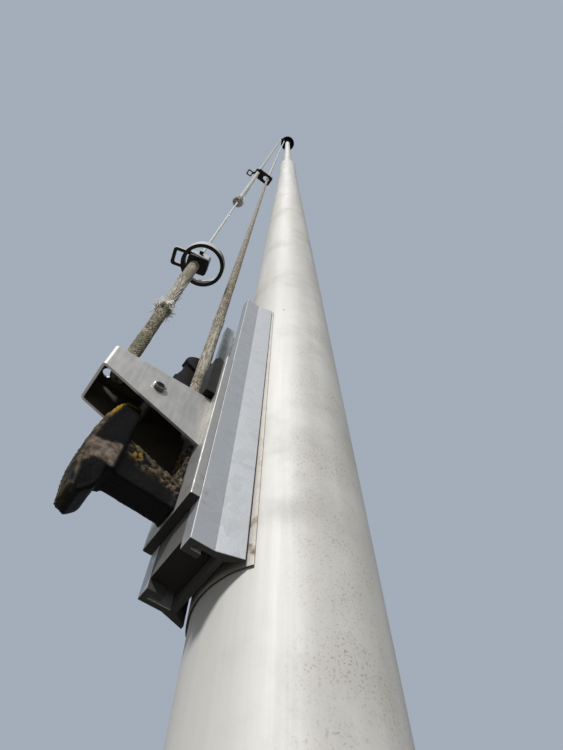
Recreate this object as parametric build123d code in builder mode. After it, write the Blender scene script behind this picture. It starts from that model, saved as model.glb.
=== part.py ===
from build123d import *
import os
from math import acos, cos, degrees, radians, sin

# Flagpole with an outside halyard, in millimetres. The pole's axis is Z and the ground is at z = 0.
# The mounting rail and everything on it face -Y. X runs across the rail.

# Base
base_size = 220.0
base_thickness = 15.0
base_corner_radius = 18.0
bolt_spacing = 160.0
bolt_hole_diameter = 18.0
collar_height = 110.0
collar_wall = 6.0
collar_clearance = 0.3

# Pole
pole_base_diameter = 106.6
pole_taper = 0.0066
cone_top_z = 3340.0
pole_wall = 3.0
joint_band_height = 22.0
joint_band_wall = 1.2
upper_diameter = 60.6
shoulder_z = 3940.0
shoulder_height = 110.0
top_tube_base_diameter = 36.0
top_tube_end_diameter = 30.0
top_tube_wall = 2.0
top_tube_end_z = 5915.0
socket_depth = 60.0

# Truck at the top
cap_diameter = 95.0
cap_overlap = 25.0
cap_skirt = 14.0
cap_dome = 36.0
cap_wall = 4.0
cap_ceiling = 26.0
cap_facets = 5
truck_socket_wall = 5.0
truck_socket_depth = 60.0
sheave_offset = 42.0
sheave_drop = 20.0
sheave_pitch_radius = 13.0
sheave_flange_height = 3.0
sheave_width = 12.0
sheave_pin_diameter = 6.0
fork_thickness = 4.0
fork_clearance = 0.5

# Halyard
rope_diameter = 8.6
worn_rope_diameter = 10.0
fluffy_rope_diameter = 9.4
cord_diameter = 3.0
rope_sides = 10
outer_foot_y = -116.5
inner_foot_y = -72.5
running_clearance = 0.4
groove_clearance = 0.2
seat_gap = 0.05
seat_clearance = 0.05
kink_gap = 0.15

# Mounting rail
rail_bottom_z = 1668.0
rail_length = 310.0
rail_lean = 0.0105
rail_half_width = 20.2
rail_front = 62.0
rail_wall = 3.0
lip_edge = 12.4
lip_return = 8.0
rail_knee = 50.6
foot_tip_x = 23.8
foot_tip_y = 38.6
foot_tip_width = 2.0
web_front = 48.0
strip_thickness = 0.8
strip_clearance = 0.3
strip_half_angle = 35.0
strip_overhang = 1.0

# Slot bar in the rail and the front plate that it holds on the lips
bar_bottom = 5.0
bar_top = 168.0
bar_recess = 0.1
bar_side_clearance = 0.4
plate_bottom = 25.0
plate_top = 173.0
plate_thickness = 4.7
plate_edge_chamfer = 0.5

# Cleat
cleat_strip_bottom = 27.0
cleat_strip_top = 78.0
cleat_strip_half_width = 7.0
cleat_strip_thickness = 1.8
cleat_back = 113.4
horn_lower_tip = 7.5
horn_upper_tip = 86.0
horn_half_width = 8.0
horn_tip_half_width = 4.0
horn_taper_length = 14.0
horn_lower_half_width = 7.4
horn_lower_taper = 8.0
horn_lower_depth = 12.0
horn_upper_depth = 16.0
horn_lower_bow = 2.6
horn_upper_bow = 4.0
horn_nose_height = 12.0
horn_nose_setback = 7.8
horn_corner_height = 9.0
horn_corner_setback = 0.8
horn_neck_height = 6.0
horn_neck_setback = 1.6
horn_lower_slant = 2.5
horn_lower_setback = 6.2
stem_half_width = 6.2
stem_bottom = 27.3
stem_top = 56.0
stem_root_top = 46.5
stem_root_depth = 2.0
stem_blend = 1.5
stem_rise = 1.5
stem_sink = 1.0
cleat_edge_chamfer = 1.6

# Hood over the cleat's upper horn
hood_half_width = 13.0
hood_sheet = 1.5
hood_root_top = 122.0
hood_root_bottom = 71.4
hood_outer_top = 117.0
hood_outer_bottom = 92.6
hood_reach = 127.8
hood_bend_radius = 2.2
threading_hole_diameter = 5.6
threading_hole_x = -5.4
threading_hole_y = -122.2
hood_pin_out = 96.7
hood_pin_height = 100.0
hood_pin_diameter = 5.0
hood_pin_head_diameter = 8.0
hood_pin_head_height = 2.0
hood_pin_socket_diameter = 5.2
hood_pin_socket_depth = 1.4
rope_hole_clearance = 1.0
end_knot_diameter = 13.5
end_knot_height = 7.0
end_knot_chamfer = 2.0

# Rope guide above the hood
guide_edge = 14.0
guide_dome_inner = 7.5
guide_cheek_inner = 9.5
guide_nose_reach = 85.5
guide_nose_height = 193.5
guide_dome_height = 17.5
guide_crown_setback = 3.4
guide_brow_setback = 10.5
guide_brow_share = 0.8
guide_shade_line = 3.0
guide_waist_setback = 3.2
guide_waist_rise = 10.5
guide_neck_drop = 7.0
guide_neck_setback = 1.2
guide_edge_bevel = 1.5
guide_rib_reach = 88.2
guide_rib_top = 168.0
guide_rib_count = 3
guide_rib_pitch = 9.0
guide_rib_groove = 1.2
guide_base_depth = 2.1
guide_base_top = 182.0
guide_pad_inner = 5.2
guide_pad_edge = 17.0
guide_pad_depth = 6.2
guide_pad_top = 171.5

# Hooks on the halyard
ring_wall = 3.5
ring_height = 11.0
block_width = 16.5
block_length = 20.5
block_x = 1.1
block_y = 2.2
block_height = 17.0
block_bottom = 7.5
block_corner = 3.0
loop_bar = 3.2
loop_corner = 1.0
lug_diameter = 4.0
lug_length = 3.5
lower_hook_z = 2043.0
lower_ring_diameter = 42.0
lower_ring_x = 2.0
lower_ring_y = 7.0
lower_loop_width = 18.0
lower_loop_reach = 23.5
lower_loop_x = 1.0
lower_hook_turn = -16.0
upper_hook_z = 3068.0
upper_ring_width = 25.0
upper_ring_length = 44.0
upper_ring_y = 18.5
upper_ring_wall = 6.0
upper_ring_corner = 5.0
upper_opening_width = 10.6
upper_opening_length = 17.0
upper_eye = 15.0
upper_eye_x = -13.0
upper_eye_y = -17.0
knot_z = 2497.0
knot_diameter = 17.0
knot_height = 22.0

os.makedirs("parts", exist_ok=True)


def pole_radius(z):
    """Outside radius of the tapered pole at height z."""
    return pole_base_diameter / 2 - pole_taper * z


def write(builder, name):
    """Label a finished sub-part and write its STEP file."""
    builder.part.label = name
    export_step(builder.part, f"parts/{name}.step")


def dome_points(radius, height, base_z):
    """Outline of a dome in straight steps, from its rim to its top."""
    turns = [90.0 * step / cap_facets for step in range(cap_facets + 1)]
    return [(radius * cos(radians(turn)), base_z + height * sin(radians(turn))) for turn in turns[:-1]]


def tangent_point(point, centre, radius, side):
    """Where the tangent from a point outside touches a circle, in (y, z)."""
    away = Vector(point[0] - centre[0], point[1] - centre[1])
    turn = side * degrees(acos(radius / away.length))
    spoke = away.normalized().rotate(Axis.Z, turn) * radius
    return (centre[0] + spoke.X, centre[1] + spoke.Y)


# Every piece on the rail is drawn in the rail's own plane: x across, y outwards as -Y, z along the rail
rail_frame = Plane(origin=(0, 0, rail_bottom_z), x_dir=(1, 0, 0), z_dir=(0, rail_lean, 1))


def rail_level(height):
    """Plane across the rail at a height above its lower end."""
    return rail_frame.offset(height)


# Side view of the rail pieces: local x is the distance out from the pole's axis, local y is up the rail
rail_side = Plane(
    origin=rail_frame.origin,
    x_dir=-rail_frame.y_dir,
    z_dir=-rail_frame.x_dir,
)

# Front view of the rail pieces: local x is across the rail, local y is up the rail
front_view = Plane(rail_frame.origin, x_dir=rail_frame.x_dir, z_dir=-rail_frame.y_dir)

# Base plate with four holes
with BuildPart() as base_plate:
    with BuildSketch():
        RectangleRounded(base_size, base_size, base_corner_radius)
        with GridLocations(bolt_spacing, bolt_spacing, 2, 2):
            Circle(bolt_hole_diameter / 2, mode=Mode.SUBTRACT)
    extrude(amount=base_thickness)
write(base_plate, "base_plate")

# Collar that holds the pole's foot
collar_inner = pole_base_diameter / 2 + collar_clearance
with BuildPart() as base_collar:
    with BuildSketch(Plane.XY.offset(base_thickness)):
        Circle(collar_inner + collar_wall)
        Circle(collar_inner, mode=Mode.SUBTRACT)
    extrude(amount=collar_height)
    chamfer(base_collar.edges().group_by(Axis.Z)[-1].sort_by(SortBy.LENGTH)[-1], collar_wall / 2)
write(base_collar, "base_collar")

# Tapered main pole
with BuildPart() as pole_lower:
    with BuildSketch(Plane.XZ):
        with BuildLine():
            Polyline(
                (pole_radius(base_thickness) - pole_wall, base_thickness),
                (pole_radius(base_thickness), base_thickness),
                (pole_radius(cone_top_z), cone_top_z),
                (pole_radius(cone_top_z) - pole_wall, cone_top_z),
                close=True,
            )
        make_face()
    revolve(axis=Axis.Z)
write(pole_lower, "pole_lower")

# Inner sleeve of the joint, which shows as a fine band
upper_radius = upper_diameter / 2
with BuildPart() as joint_band:
    with BuildSketch(Plane.XY.offset(cone_top_z)):
        Circle(upper_radius + collar_clearance / 2 + joint_band_wall)
        Circle(upper_radius + collar_clearance / 2, mode=Mode.SUBTRACT)
    extrude(amount=joint_band_height)
    chamfer(joint_band.edges().group_by(Axis.Z)[-1].sort_by(SortBy.LENGTH)[-1], joint_band_wall / 2)
write(joint_band, "joint_band")

# Upper section, spun in to a shoulder at its top
top_radius = top_tube_base_diameter / 2
with BuildPart() as pole_upper:
    with BuildSketch(Plane.XZ):
        with BuildLine():
            Polyline(
                (upper_radius - pole_wall, cone_top_z),
                (upper_radius, cone_top_z),
                (upper_radius, shoulder_z),
                (top_radius + pole_wall, shoulder_z + shoulder_height),
                (top_radius + collar_clearance / 2, shoulder_z + shoulder_height),
                (upper_radius - pole_wall, shoulder_z),
                close=True,
            )
        make_face()
    revolve(axis=Axis.Z)
write(pole_upper, "pole_upper")

# Slim top tube
with BuildPart() as top_tube:
    with BuildSketch(Plane.XZ):
        with BuildLine():
            Polyline(
                (top_radius - top_tube_wall, shoulder_z + shoulder_height - socket_depth),
                (top_radius, shoulder_z + shoulder_height - socket_depth),
                (top_radius, shoulder_z + shoulder_height),
                (top_tube_end_diameter / 2, top_tube_end_z),
                (top_tube_end_diameter / 2 - top_tube_wall, top_tube_end_z),
                (top_radius - top_tube_wall, shoulder_z + shoulder_height),
                close=True,
            )
        make_face()
    revolve(axis=Axis.Z)
write(top_tube, "top_tube")

# Truck body: a socket over the tube's end, a post up to the cap and a fork for the sheave
socket_inner = top_tube_end_diameter / 2 + running_clearance
socket_outer = socket_inner + truck_socket_wall
socket_bottom = top_tube_end_z - truck_socket_depth
cap_rim_z = top_tube_end_z - cap_overlap
sheave_z = cap_rim_z - sheave_drop
fork_inner = sheave_width / 2 + fork_clearance
fork_start = socket_inner + truck_socket_wall / 4
fork_end = sheave_offset + sheave_pin_diameter
cap_radius = cap_diameter / 2
cap_inner_radius = cap_radius - cap_wall
dome_z = cap_rim_z + cap_skirt
ceiling_z = dome_z + cap_ceiling
with BuildPart() as truck_body:
    with BuildSketch(Plane.XY.offset(socket_bottom)):
        Circle(socket_outer)
        Circle(socket_inner, mode=Mode.SUBTRACT)
    extrude(amount=top_tube_end_z - socket_bottom)
    with BuildSketch(Plane.XY.offset(top_tube_end_z)):
        Circle(socket_outer)
    extrude(amount=ceiling_z - seat_gap - top_tube_end_z)
    with BuildSketch(Plane.XY.offset(sheave_z - sheave_pin_diameter)):
        for side in (-1, 1):
            with Locations((side * (fork_inner + fork_thickness / 2), -(fork_start + fork_end) / 2)):
                Rectangle(fork_thickness, fork_end - fork_start)
    extrude(amount=2 * sheave_pin_diameter)
    with Locations(Plane(origin=(0, -sheave_offset, sheave_z), x_dir=(0, 1, 0), z_dir=(1, 0, 0))):
        Hole(sheave_pin_diameter / 2 + seat_clearance)
write(truck_body, "truck_body")

# Mushroom cap with a flat ceiling that sits on the truck's post
with BuildPart() as truck_cap:
    with BuildSketch(Plane.XZ):
        with BuildLine():
            Polyline(
                (0, ceiling_z),
                (0, dome_z + cap_dome),
                *reversed(dome_points(cap_radius, cap_dome, dome_z)),
                (cap_radius, cap_rim_z),
                (cap_inner_radius, cap_rim_z),
                (cap_inner_radius, dome_z),
                (socket_outer + cap_wall, ceiling_z),
                close=True,
            )
        make_face()
    revolve(axis=Axis.Z)
write(truck_cap, "truck_cap")

# Sheave with a square groove, and its pin
sheave_outer = sheave_pitch_radius + sheave_flange_height
groove_half = rope_diameter / 2 + groove_clearance
groove_bottom = sheave_pitch_radius - groove_half
sheave_bore = sheave_pin_diameter / 2 + seat_clearance
with BuildPart() as truck_sheave:
    with BuildSketch(Plane(origin=(0, -sheave_offset, sheave_z), x_dir=(1, 0, 0), z_dir=(0, 1, 0))):
        with BuildLine():
            Polyline(
                (-sheave_width / 2, sheave_bore),
                (sheave_width / 2, sheave_bore),
                (sheave_width / 2, sheave_outer),
                (groove_half, sheave_outer),
                (groove_half, groove_bottom),
                (-groove_half, groove_bottom),
                (-groove_half, sheave_outer),
                (-sheave_width / 2, sheave_outer),
                close=True,
            )
        make_face()
    revolve(axis=Axis((0, -sheave_offset, sheave_z), (1, 0, 0)))
write(truck_sheave, "truck_sheave")

with BuildPart() as truck_pin:
    with BuildSketch(Plane.YZ.offset(-fork_inner - fork_thickness)):
        with Locations((-sheave_offset, sheave_z)):
            Circle(sheave_pin_diameter / 2)
    extrude(amount=2 * (fork_inner + fork_thickness))
write(truck_pin, "truck_pin")

# Curved backing strip between the rail and the pole
strip_bottom = rail_bottom_z - strip_overhang
strip_top = rail_bottom_z + rail_length + strip_overhang
with BuildPart() as backing_strip:
    with BuildSketch(Plane.XZ):
        with BuildLine():
            Polyline(
                (pole_radius(strip_bottom) + strip_clearance, strip_bottom),
                (pole_radius(strip_bottom) + strip_clearance + strip_thickness, strip_bottom),
                (pole_radius(strip_top) + strip_clearance + strip_thickness, strip_top),
                (pole_radius(strip_top) + strip_clearance, strip_top),
                close=True,
            )
        make_face()
    revolve(axis=Axis.Z, revolution_arc=2 * strip_half_angle)
    backing_strip.part = backing_strip.part.rotate(Axis.Z, -90 - strip_half_angle)
write(backing_strip, "backing_strip")

# Mounting rail: a slotted channel with splayed feet
with BuildPart() as mounting_rail:
    with BuildSketch(rail_level(0)):
        with BuildLine():
            Polyline(
                (0, -web_front),
                (rail_half_width - rail_wall, -web_front),
                (rail_half_width - rail_wall, -rail_front + rail_wall),
                (lip_edge + rail_wall, -rail_front + rail_wall),
                (lip_edge + rail_wall, -rail_front + lip_return),
                (lip_edge, -rail_front + lip_return),
                (lip_edge, -rail_front),
                (rail_half_width, -rail_front),
                (rail_half_width, -rail_knee),
                (foot_tip_x, -foot_tip_y),
                (foot_tip_x - foot_tip_width, -foot_tip_y),
                (rail_half_width - rail_wall, -web_front + rail_wall),
                (0, -web_front + rail_wall),
                close=True,
            )
        make_face()
        mirror(about=Plane.YZ)
    extrude(amount=rail_length)
write(mounting_rail, "mounting_rail")

# Bar that fills the slot behind the front plate
bar_half = lip_edge - bar_side_clearance
bar_front = rail_front - bar_recess
with BuildPart() as slot_bar:
    with BuildSketch(rail_level(bar_bottom)):
        with Locations((0, -(web_front + bar_front) / 2)):
            Rectangle(2 * bar_half, bar_front - web_front)
    extrude(amount=bar_top - bar_bottom)
write(slot_bar, "slot_bar")

# Front plate on the lips, which carries the cleat, the hood and the rope guide
plate_back = rail_front + seat_gap
plate_front = plate_back + plate_thickness
with BuildPart() as front_plate:
    with BuildSketch(rail_level(plate_bottom)):
        with Locations((0, -(plate_back + plate_front) / 2)):
            Rectangle(2 * rail_half_width, plate_thickness)
    extrude(amount=plate_top - plate_bottom)
    front_edges = front_plate.edges().filter_by(Axis.X, reverse=True).group_by(Axis.Y)[0]
    chamfer(front_edges.filter_by(lambda edge: edge.length > plate_thickness), plate_edge_chamfer)
write(front_plate, "front_plate")

# Cast cleat: a thin foot strip, a flat stem and a crossbar with two horns
seat_out = plate_front + seat_gap
strip_out = seat_out + cleat_strip_thickness
horn_inner = cleat_back - horn_upper_depth
with BuildPart() as cleat:
    with BuildSketch(rail_side.offset(-horn_half_width)):
        with BuildLine():
            outer_start = (cleat_back - horn_lower_bow, horn_lower_tip + horn_lower_slant)
            outer_end = (cleat_back - horn_upper_bow, horn_upper_tip - horn_nose_height)
            ThreePointArc(outer_start, (cleat_back, (horn_lower_tip + horn_upper_tip) / 2), outer_end)
            Polyline(
                outer_end,
                (cleat_back - horn_nose_setback, horn_upper_tip),
                (horn_inner + horn_corner_setback, horn_upper_tip),
                (horn_inner, horn_upper_tip - horn_corner_height),
                (horn_inner, stem_top),
                (horn_inner, stem_bottom + stem_blend),
                (cleat_back - horn_lower_depth, stem_bottom),
                (cleat_back - horn_lower_depth, stem_bottom - horn_neck_height),
                (cleat_back - horn_lower_depth + horn_neck_setback, horn_lower_tip + horn_neck_height),
                (cleat_back - horn_lower_setback, horn_lower_tip),
                outer_start,
            )
        make_face()
    extrude(amount=2 * horn_half_width)
    chamfer(cleat.edges().filter_by(GeomType.CIRCLE), cleat_edge_chamfer)
    with BuildSketch(front_view):
        with BuildLine():
            Polyline(
                (horn_lower_half_width, horn_lower_tip),
                (horn_half_width, horn_lower_tip + horn_lower_taper),
                (horn_half_width, horn_upper_tip - horn_taper_length),
                (horn_tip_half_width, horn_upper_tip),
                (-horn_tip_half_width, horn_upper_tip),
                (-horn_half_width, horn_upper_tip - horn_taper_length),
                (-horn_half_width, horn_lower_tip + horn_lower_taper),
                (-horn_lower_half_width, horn_lower_tip),
                close=True,
            )
        make_face()
    extrude(amount=2 * cleat_back, mode=Mode.INTERSECT)
    with BuildSketch(rail_side.offset(-stem_half_width)):
        with BuildLine():
            Polyline(
                (seat_out, stem_bottom),
                (horn_inner + stem_sink, stem_bottom + stem_rise),
                (horn_inner + stem_sink, stem_top),
                (strip_out + stem_root_depth, stem_root_top),
                (seat_out, stem_root_top),
                close=True,
            )
        make_face()
    extrude(amount=2 * stem_half_width)
    with BuildSketch(rail_side.offset(-cleat_strip_half_width)):
        with Locations(((seat_out + strip_out) / 2, (cleat_strip_bottom + cleat_strip_top) / 2)):
            Rectangle(cleat_strip_thickness, cleat_strip_top - cleat_strip_bottom)
    extrude(amount=2 * cleat_strip_half_width)
write(cleat, "cleat")

# The hood's top slopes down outwards
hood_slope = (hood_root_top - hood_outer_top) / (hood_reach - seat_out)


def hood_top_at(out):
    """Height of the hood's top above the rail's end at a distance out."""
    return hood_root_top - hood_slope * (out - seat_out)


def foot_point(y):
    """Lower end (y, z) of a halyard line, just under the hood's top."""
    under = hood_top_at(-y) - hood_sheet - running_clearance
    return (y, rail_bottom_z + under)


outer_foot = foot_point(outer_foot_y)
inner_foot = foot_point(inner_foot_y)
worn_hole = worn_rope_diameter / 2 + rope_hole_clearance
rope_hole = rope_diameter / 2 + rope_hole_clearance

# Folded hood: top, two tapering sides and an outer end, open below and towards the rail
with BuildPart() as hood:
    with BuildSketch(rail_side.offset(-hood_half_width)):
        with BuildLine():
            Polyline(
                (seat_out, hood_root_bottom),
                (hood_reach, hood_outer_bottom),
                (hood_reach, hood_outer_top),
                (seat_out, hood_root_top),
                close=True,
            )
        make_face()
    extrude(amount=2 * hood_half_width)
    root_face = hood.faces().sort_by(Axis.Y)[-1]
    under_face = hood.faces().sort_by(Axis.Z)[0]
    bends = hood.edges() - root_face.edges() - under_face.edges()
    fillet(bends, hood_bend_radius)
    root_face = hood.faces().sort_by(Axis.Y)[-1]
    under_face = hood.faces().sort_by(Axis.Z)[0]
    offset(amount=-hood_sheet, openings=[root_face, under_face])
    with BuildSketch(Plane.XY.offset(rail_bottom_z + hood_root_top + hood_sheet)):
        with Locations((0, outer_foot_y)):
            Circle(worn_hole)
        with Locations((threading_hole_x, threading_hole_y)):
            Circle(threading_hole_diameter / 2)
        with Locations((0, inner_foot_y)):
            Circle(rope_hole)
    extrude(amount=hood_outer_top - hood_root_top - 4 * hood_sheet, mode=Mode.SUBTRACT)
    with BuildSketch(rail_side.offset(-hood_half_width - hood_sheet)):
        with Locations((hood_pin_out, hood_pin_height)):
            Circle(hood_pin_diameter / 2 + seat_clearance)
    extrude(amount=2 * (hood_half_width + hood_sheet), mode=Mode.SUBTRACT)
write(hood, "hood")

# Cross pin of the hood, with a small socket head on each side
with BuildPart() as hood_pin:
    with BuildSketch(rail_side.offset(-hood_half_width - seat_gap - hood_pin_head_height)):
        with Locations((hood_pin_out, hood_pin_height)):
            Circle(hood_pin_head_diameter / 2)
    extrude(amount=hood_pin_head_height)
    with BuildSketch(rail_side.offset(-hood_half_width - seat_gap)):
        with Locations((hood_pin_out, hood_pin_height)):
            Circle(hood_pin_diameter / 2)
    extrude(amount=2 * (hood_half_width + seat_gap))
    with BuildSketch(rail_side.offset(hood_half_width + seat_gap)):
        with Locations((hood_pin_out, hood_pin_height)):
            Circle(hood_pin_head_diameter / 2)
    extrude(amount=hood_pin_head_height)
    near_face = hood_pin.faces().sort_by(Axis.X)[-1]
    far_face = hood_pin.faces().sort_by(Axis.X)[0]
    chamfer(near_face.edges() + far_face.edges(), hood_pin_head_height / 4)
    with BuildSketch(hood_pin.faces().sort_by(Axis.X)[-1], hood_pin.faces().sort_by(Axis.X)[0]):
        RegularPolygon(hood_pin_socket_diameter / 2, 6)
    extrude(amount=-hood_pin_socket_depth, mode=Mode.SUBTRACT)
write(hood_pin, "hood_pin")

# Rope guide above the hood. On the far side of the inner line stands a ribbed cheek under a round dome,
# behind the line lies a thin base, and on its near side there is a low pad
guide_seat = hood_top_at(plate_front) + seat_gap
with BuildPart() as rope_guide:
    with BuildSketch(rail_side.offset(guide_dome_inner)):
        with BuildLine():
            nose = (guide_nose_reach, guide_nose_height)
            crown = (guide_nose_reach - guide_crown_setback, guide_nose_height + guide_dome_height / 2)
            brow_height = guide_nose_height + guide_dome_height * guide_brow_share
            brow = (guide_nose_reach - guide_brow_setback, brow_height)
            ThreePointArc(nose, crown, brow)
            Polyline(
                brow,
                (seat_out, guide_nose_height + guide_dome_height),
                (seat_out, guide_base_top),
                (seat_out + guide_base_depth, guide_base_top),
                (guide_nose_reach - guide_shade_line, guide_nose_height - guide_shade_line),
                nose,
            )
        make_face()
    extrude(amount=guide_edge - guide_dome_inner)
    with BuildSketch(rail_side.offset(guide_cheek_inner)):
        with BuildLine():
            Polyline(
                (seat_out, guide_seat),
                (guide_rib_reach, hood_top_at(guide_rib_reach) + seat_gap),
                (guide_rib_reach, guide_rib_top),
                (guide_rib_reach - guide_edge_bevel, guide_rib_top + 2 * guide_edge_bevel),
                (guide_rib_reach - guide_waist_setback, guide_rib_top + guide_waist_rise),
                (guide_nose_reach - guide_neck_setback, guide_nose_height - guide_neck_drop),
                (guide_nose_reach - guide_shade_line, guide_nose_height - guide_edge_bevel),
                (seat_out, guide_nose_height),
                close=True,
            )
        make_face()
    extrude(amount=guide_edge - guide_cheek_inner)
    with BuildSketch(front_view.offset(seat_out)):
        with BuildLine():
            Polyline(
                (-guide_edge, guide_seat),
                (guide_pad_inner + guide_base_depth, guide_seat),
                (guide_pad_inner + guide_base_depth, guide_pad_top),
                (-guide_cheek_inner, guide_base_top),
                (-guide_edge, guide_base_top),
                close=True,
            )
        make_face()
    extrude(amount=guide_base_depth)
    with BuildSketch(rail_side.offset(-guide_pad_edge)):
        with BuildLine():
            Polyline(
                (seat_out, guide_seat),
                (seat_out + guide_pad_depth, hood_top_at(seat_out + guide_pad_depth) + seat_gap),
                (seat_out + guide_pad_depth, guide_pad_top - guide_pad_depth),
                (seat_out + guide_pad_depth / 2, guide_pad_top),
                (seat_out, guide_pad_top - guide_base_depth),
                close=True,
            )
        make_face()
    extrude(amount=guide_pad_edge - guide_pad_inner)
    for rib in range(guide_rib_count):
        groove_height = guide_rib_top - (rib + 0.5) * guide_rib_pitch
        with BuildSketch(rail_side.offset(guide_cheek_inner)):
            with Locations((guide_rib_reach, groove_height)):
                Rectangle(2 * guide_rib_groove, guide_rib_groove)
        extrude(amount=guide_edge - guide_cheek_inner, mode=Mode.SUBTRACT)
write(rope_guide, "rope_guide")

# The halyard's two lines lie in the plane x = 0: points are (y, z)
sheave_centre = (-sheave_offset, sheave_z)
outer_head = tangent_point(outer_foot, sheave_centre, sheave_pitch_radius, -1)
rope_line = Vector(0, outer_head[0] - outer_foot[0], outer_head[1] - outer_foot[1])


def on_outer(z):
    """y of the halyard's outer line at height z."""
    share = (z - outer_foot[1]) / (outer_head[1] - outer_foot[1])
    return outer_foot[0] + share * (outer_head[0] - outer_foot[0])


def straight_rope(start, end, diameter, name):
    """A taut length of rope between two points (y, z)."""
    first = Vector(0, start[0], start[1])
    last = Vector(0, end[0], end[1])
    with BuildPart() as rope:
        with BuildSketch(Plane(origin=first, x_dir=(1, 0, 0), z_dir=last - first)):
            Circle(diameter / 2)
        extrude(amount=(last - first).length)
    write(rope, name)


def outline(size, corner, mode=Mode.ADD):
    """A rounded rectangle, or an ellipse where the corner is 0."""
    if corner:
        RectangleRounded(*size, corner, mode=mode)
    else:
        Ellipse(size[0] / 2, size[1] / 2, mode=mode)


def hook(name, z, turn, ring, opening, loop_size, loop_place, hole_radius):
    """A moulded hook: a block on the outer line, a ring towards the pole, an outer loop and a lug.

    The ring and its opening are each a size, a corner and a place."""
    place = Plane(origin=(0, on_outer(z), z)).rotated((0, 0, turn))
    with BuildPart() as part:
        with BuildSketch(place.offset(-ring_height / 2)):
            with Locations(ring[2]):
                outline(ring[0], ring[1])
            with Locations(opening[2]):
                outline(opening[0], opening[1], Mode.SUBTRACT)
        extrude(amount=ring_height)
        with BuildSketch(place.offset(-block_bottom)):
            with Locations((block_x, block_y)):
                RectangleRounded(block_width, block_length, block_corner)
        extrude(amount=block_height)
        with BuildSketch(place.offset(-loop_bar / 2)):
            with BuildLine():
                Line((block_x, block_y), loop_place)
            trace(line_width=2 * loop_bar)
            with Locations(loop_place):
                RectangleRounded(*loop_size, loop_bar)
                inner_size = (loop_size[0] - 2 * loop_bar, loop_size[1] - 2 * loop_bar)
                RectangleRounded(*inner_size, loop_corner, mode=Mode.SUBTRACT)
        extrude(amount=loop_bar)
        block_side = Plane(place.origin, x_dir=place.y_dir, z_dir=place.x_dir).offset(block_x + block_width / 2)
        with BuildSketch(block_side):
            with Locations((block_y, block_height - block_bottom - lug_diameter)):
                Circle(lug_diameter / 2)
        extrude(amount=lug_length)
        with BuildSketch(Plane(origin=place.origin, x_dir=(1, 0, 0), z_dir=rope_line)):
            Circle(hole_radius)
        extrude(amount=block_height, both=True, mode=Mode.SUBTRACT)
    write(part, name)


lower_loop_length = lower_loop_reach + block_y - block_length / 2 + loop_bar
lower_opening = lower_ring_diameter - 2 * ring_wall
opening_end = upper_ring_y + upper_ring_length / 2 - upper_ring_wall
opening_y = opening_end - upper_opening_length / 2
hook(
    "lower_hook",
    lower_hook_z,
    lower_hook_turn,
    ((lower_ring_diameter, lower_ring_diameter), 0, (lower_ring_x, lower_ring_y)),
    ((lower_opening, lower_opening), 0, (lower_ring_x, lower_ring_y)),
    (lower_loop_width, lower_loop_length),
    (lower_loop_x, -lower_loop_reach + lower_loop_length / 2),
    worn_rope_diameter / 2 + seat_clearance,
)
hook(
    "upper_hook",
    upper_hook_z,
    0.0,
    ((upper_ring_width, upper_ring_length), upper_ring_corner, (0, upper_ring_y)),
    ((upper_opening_width, upper_opening_length), upper_ring_corner, (0, opening_y)),
    (upper_eye, upper_eye),
    (upper_eye_x, upper_eye_y),
    fluffy_rope_diameter / 2 + seat_clearance,
)

# Inner line: straight from the hood to the upper hook's ring, then up to the sheave
ring_y = on_outer(upper_hook_z) + opening_end - rope_diameter / 2 - running_clearance
ring_point = (ring_y, upper_hook_z)
ring_point_above = (ring_y, upper_hook_z + kink_gap)
inner_head = tangent_point(ring_point_above, sheave_centre, sheave_pitch_radius, 1)
straight_rope(inner_foot, ring_point, rope_diameter, "halyard_inner_lower")
straight_rope(ring_point_above, inner_head, rope_diameter, "halyard_inner_upper")

# Outer line: the worn rope up to the lower hook, the thin cord up to the knot, the fluffy rope up to
# the upper hook, and the sound rope above it
cord_z = lower_hook_z + ring_height / 2
knot_low_z = knot_z - knot_height / 2 - kink_gap
knot_high_z = knot_z + knot_height / 2 + kink_gap
head_z = sheave_z - kink_gap
cord_point = (on_outer(cord_z), cord_z)
hook_point = (on_outer(upper_hook_z), upper_hook_z)
straight_rope(outer_foot, cord_point, worn_rope_diameter, "halyard_outer_lower")
straight_rope(cord_point, (on_outer(knot_low_z), knot_low_z), cord_diameter, "thin_cord")
straight_rope((on_outer(knot_high_z), knot_high_z), hook_point, fluffy_rope_diameter, "halyard_outer_middle")
straight_rope(hook_point, (on_outer(head_z), head_z), rope_diameter, "halyard_outer_upper")

# The halyard's turn over the sheave
with BuildPart() as halyard_turn:
    with BuildSketch(Plane.XY.offset(sheave_z)):
        with Locations((0, -sheave_offset - sheave_pitch_radius)):
            RegularPolygon(rope_diameter / 2, rope_sides)
    revolve(axis=Axis((0, -sheave_offset, sheave_z), (-1, 0, 0)), revolution_arc=180)
write(halyard_turn, "halyard_turn")

# Knot between the thin cord and the fluffy rope
with BuildPart() as halyard_knot:
    with BuildSketch(Plane(origin=(0, on_outer(knot_z), knot_z), x_dir=(1, 0, 0), z_dir=(0, -1, 0))):
        with BuildLine():
            Polyline(
                (0, -knot_height / 2),
                (knot_diameter / 4, -knot_height / 2),
                (knot_diameter / 2, -knot_height / 5),
                (knot_diameter / 2, knot_height / 5),
                (knot_diameter / 4, knot_height / 2),
                (0, knot_height / 2),
                close=True,
            )
        make_face()
    revolve(axis=Axis((0, on_outer(knot_z), knot_z), (0, 0, 1)))
write(halyard_knot, "halyard_knot")

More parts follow.
